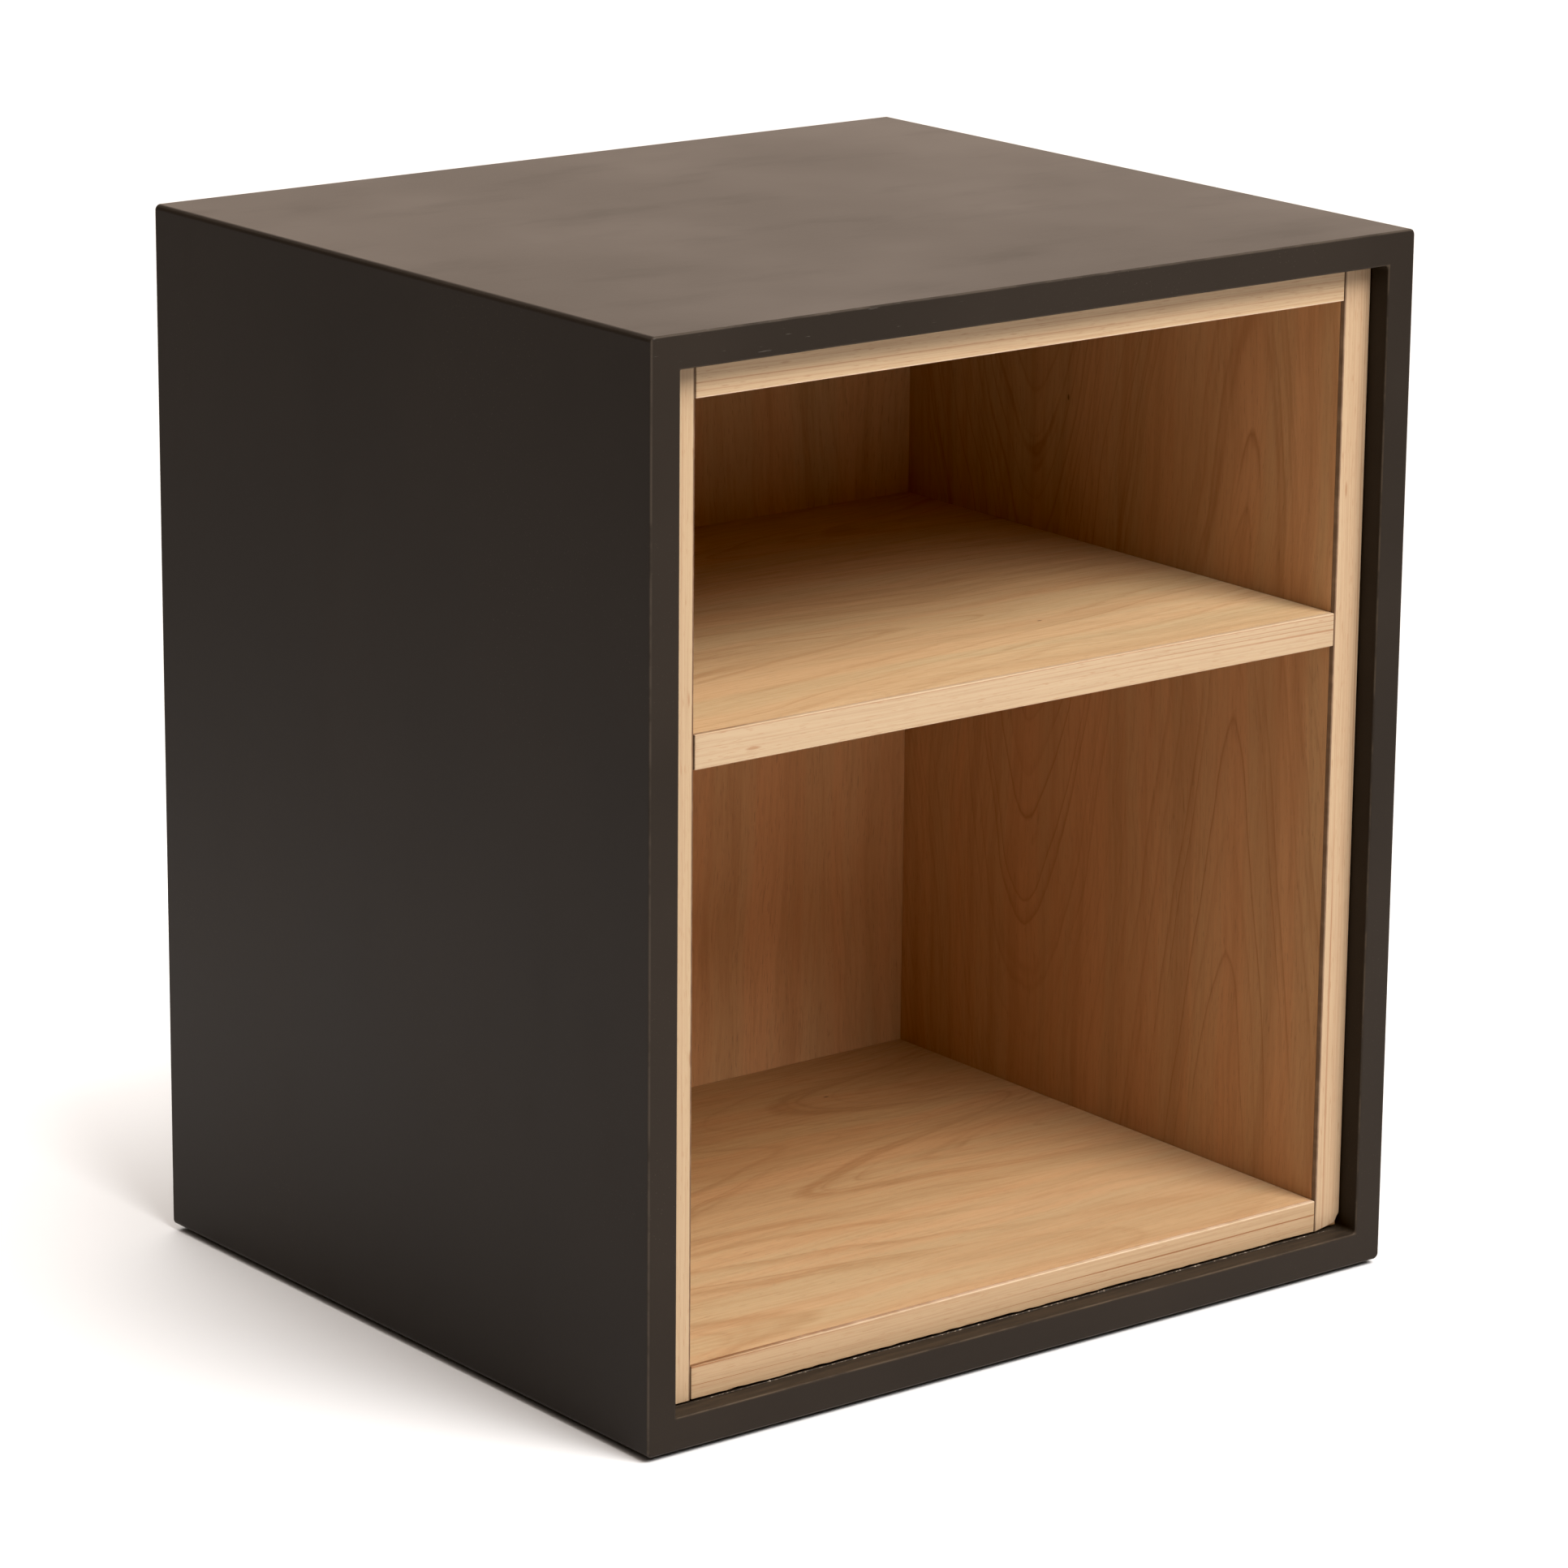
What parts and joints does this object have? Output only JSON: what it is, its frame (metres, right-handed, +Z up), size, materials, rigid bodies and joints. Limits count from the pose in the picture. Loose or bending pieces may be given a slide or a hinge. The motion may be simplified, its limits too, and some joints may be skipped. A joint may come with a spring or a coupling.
{
  "type": "open side cabinet",
  "caption": "Open-fronted side cabinet: a dark painted mitred box around a pale wood liner with a fixed shelf and two compartments.",
  "frame": {"origin": "centre of the footprint at floor level, on the plane of the glides' undersides", "axes": "+Z up, -Y out of the open front, +X to the right of someone facing the front"},
  "size_m": [0.5, 0.44, 0.575],
  "materials": {
    "paint": "satin brown-black paint on board",
    "cover_paint": "matt brown-black paint on thin board",
    "veneer": "light wood veneer, satin lacquer",
    "lipping": "pale solid wood, straight grain, satin lacquer",
    "beech": "bare beech",
    "steel": "zinc-plated steel",
    "glide": "dark grey plastic"
  },
  "bodies": {
    "root": {"casing_top": "paint", "casing_bottom": "paint", "casing_side_left": "paint", "casing_side_right": "paint", "mitre_tongue_top_left": "beech", "mitre_tongue_top_right": "beech", "mitre_tongue_bottom_left": "beech", "mitre_tongue_bottom_right": "beech", "rear_cover": "cover_paint", "rear_cover_screw_1": "steel", "rear_cover_screw_2": "steel", "rear_cover_screw_3": "steel", "rear_cover_screw_4": "steel", "rear_cover_screw_5": "steel", "rear_cover_screw_6": "steel", "rear_cover_screw_7": "steel", "rear_cover_screw_8": "steel", "liner_side_left": "veneer", "liner_side_right": "veneer", "liner_top": "veneer", "liner_shelf": "veneer", "liner_bottom": "veneer", "liner_back": "veneer", "lipping_side_left": "lipping", "lipping_side_right": "lipping", "lipping_top": "lipping", "lipping_shelf": "lipping", "lipping_bottom": "lipping", "dowel_top_left_front": "beech", "dowel_top_left_rear": "beech", "dowel_top_right_front": "beech", "dowel_top_right_rear": "beech", "dowel_shelf_left_front": "beech", "dowel_shelf_left_rear": "beech", "dowel_shelf_right_front": "beech", "dowel_shelf_right_rear": "beech", "dowel_bottom_left_front": "beech", "dowel_bottom_left_rear": "beech", "dowel_bottom_right_front": "beech", "dowel_bottom_right_rear": "beech", "liner_back_screw_1": "steel", "liner_back_screw_2": "steel", "liner_back_screw_3": "steel", "liner_back_screw_4": "steel", "liner_back_screw_5": "steel", "liner_back_screw_6": "steel", "liner_screw_1": "steel", "liner_screw_2": "steel", "liner_screw_3": "steel", "liner_screw_4": "steel", "glide_1": "glide", "glide_2": "glide", "glide_3": "glide", "glide_4": "glide", "glide_nail_1": "steel", "glide_nail_2": "steel", "glide_nail_3": "steel", "glide_nail_4": "steel"}
  },
  "joints": []
}
